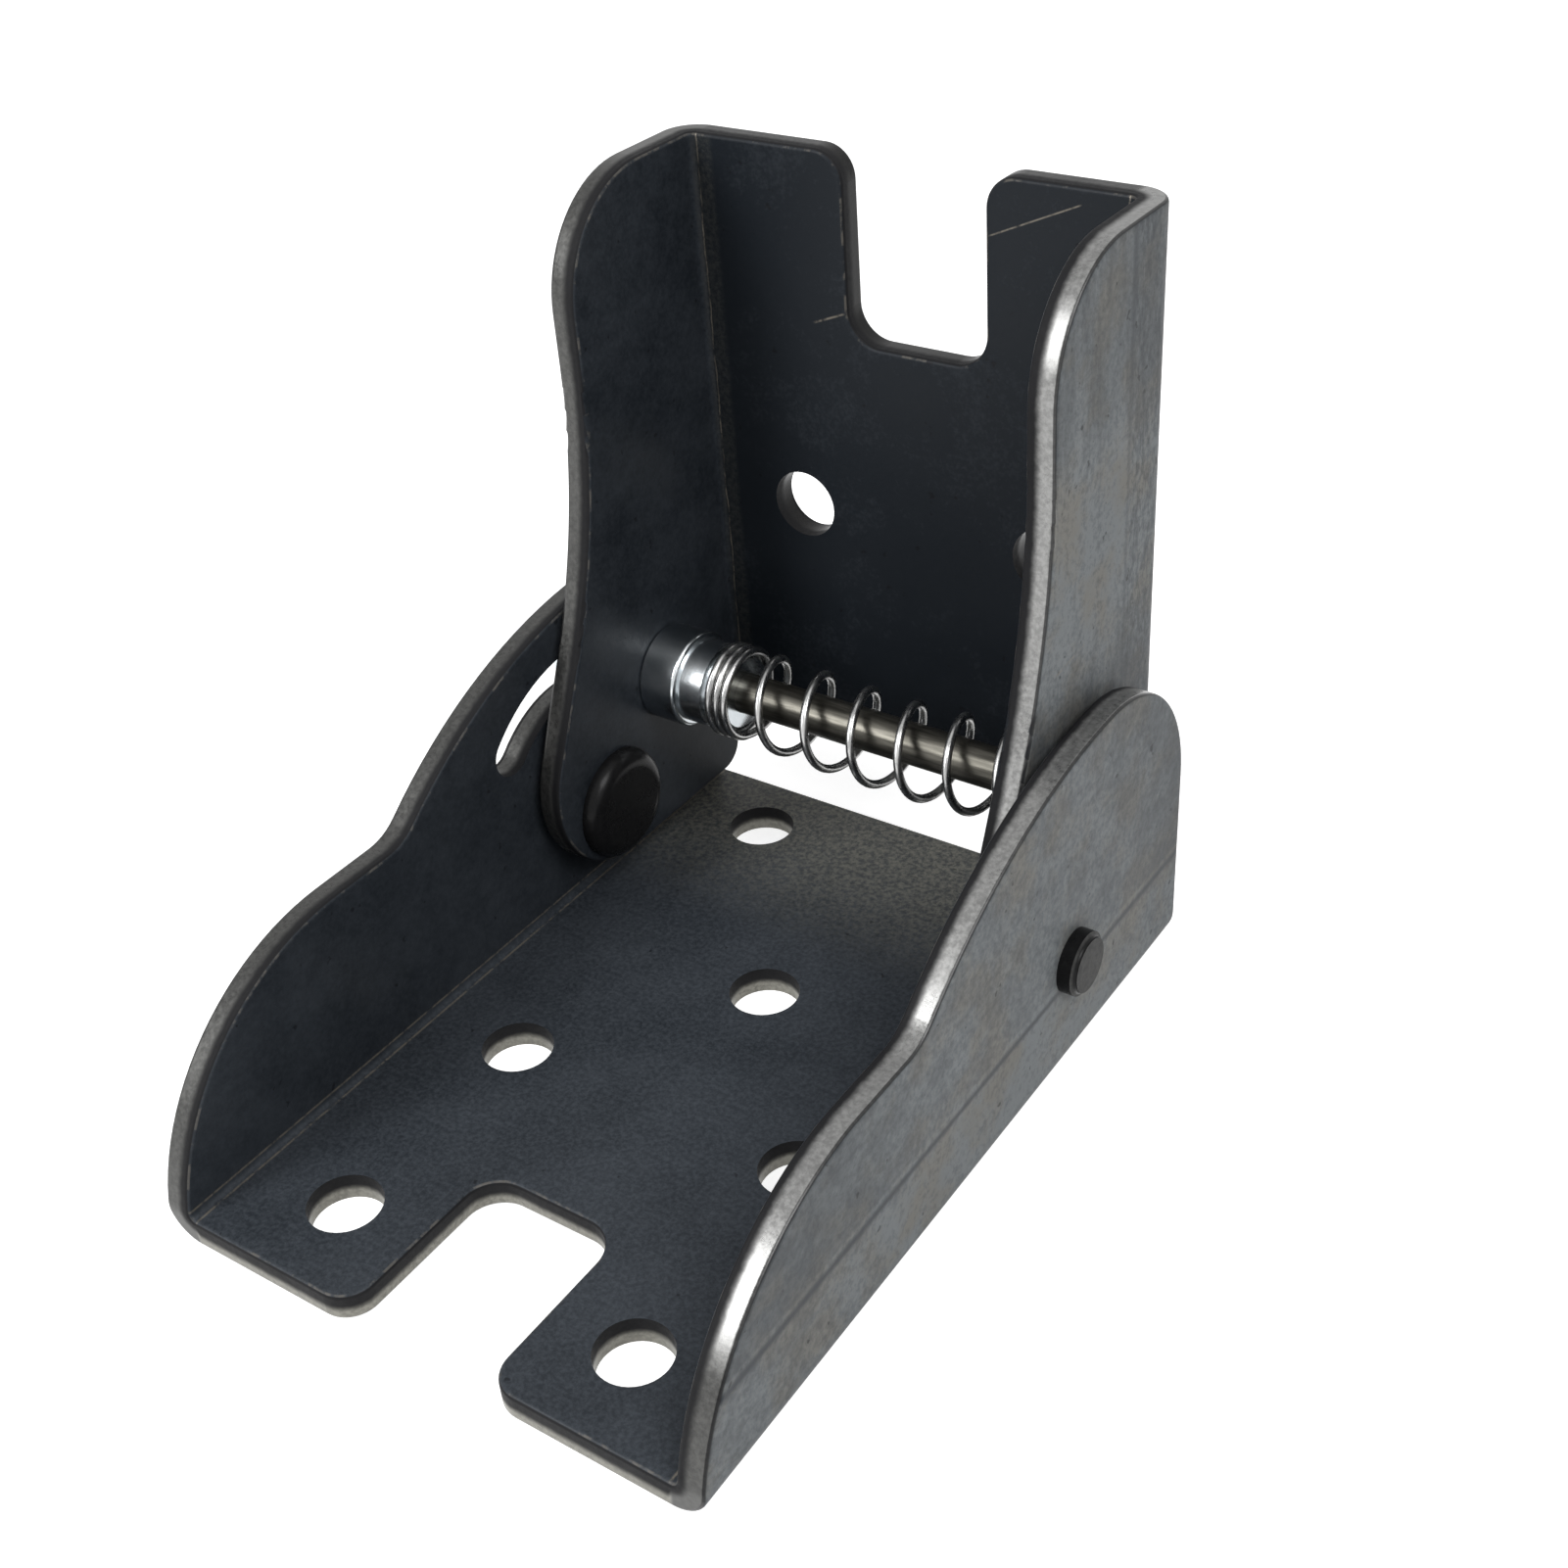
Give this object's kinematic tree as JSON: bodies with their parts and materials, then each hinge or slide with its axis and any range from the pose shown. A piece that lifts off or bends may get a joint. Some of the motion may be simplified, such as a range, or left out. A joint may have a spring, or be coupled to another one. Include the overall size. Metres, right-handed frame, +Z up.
{
  "type": "folding table leg bracket",
  "caption": "Folding table leg bracket: a leg channel swings flat into a base channel on pivot rivets, with a spring-loaded push pin beside the pivot.",
  "frame": {"origin": "on the underside of the base, at the centre of its corner screw holes", "axes": "+Z up from the base underside, +Y from the front tabs towards the upright leg, +X across, along the pivot"},
  "size_m": [0.0479, 0.06, 0.0544],
  "materials": {
    "black_sheet_steel": "dark hot-rolled sheet steel, oiled, with paler sheared edges",
    "rivet_steel": "dark blackened steel, peened at the tail",
    "rod_steel": "drawn steel rod, olive grey",
    "plated_steel": "turned steel, bright zinc plated",
    "spring_wire": "bright drawn spring wire"
  },
  "bodies": {
    "base": {"base_channel": "black_sheet_steel", "pivot_rivet_left": "rivet_steel", "pivot_rivet_right": "rivet_steel"},
    "leg": {"leg_channel": "black_sheet_steel", "lock_spring": "spring_wire"},
    "lock_pin": {"lock_rod": "rod_steel", "lock_sleeve": "plated_steel", "push_button": "plated_steel"}
  },
  "joints": [
    {"name": "leg_fold", "type": "hinge", "parent": "base", "child": "leg", "pos_m": [0, 0.0125, 0.0095], "axis": [1, 0, 0], "range_deg": [0, 90]},
    {"name": "pin_press", "type": "slide", "parent": "leg", "child": "lock_pin", "axis": [1, 0, 0], "range_m": [0, 0.002], "stiffness_N_per_m": 500, "springref_m": -0.004, "deforming": ["lock_spring"]}
  ]
}
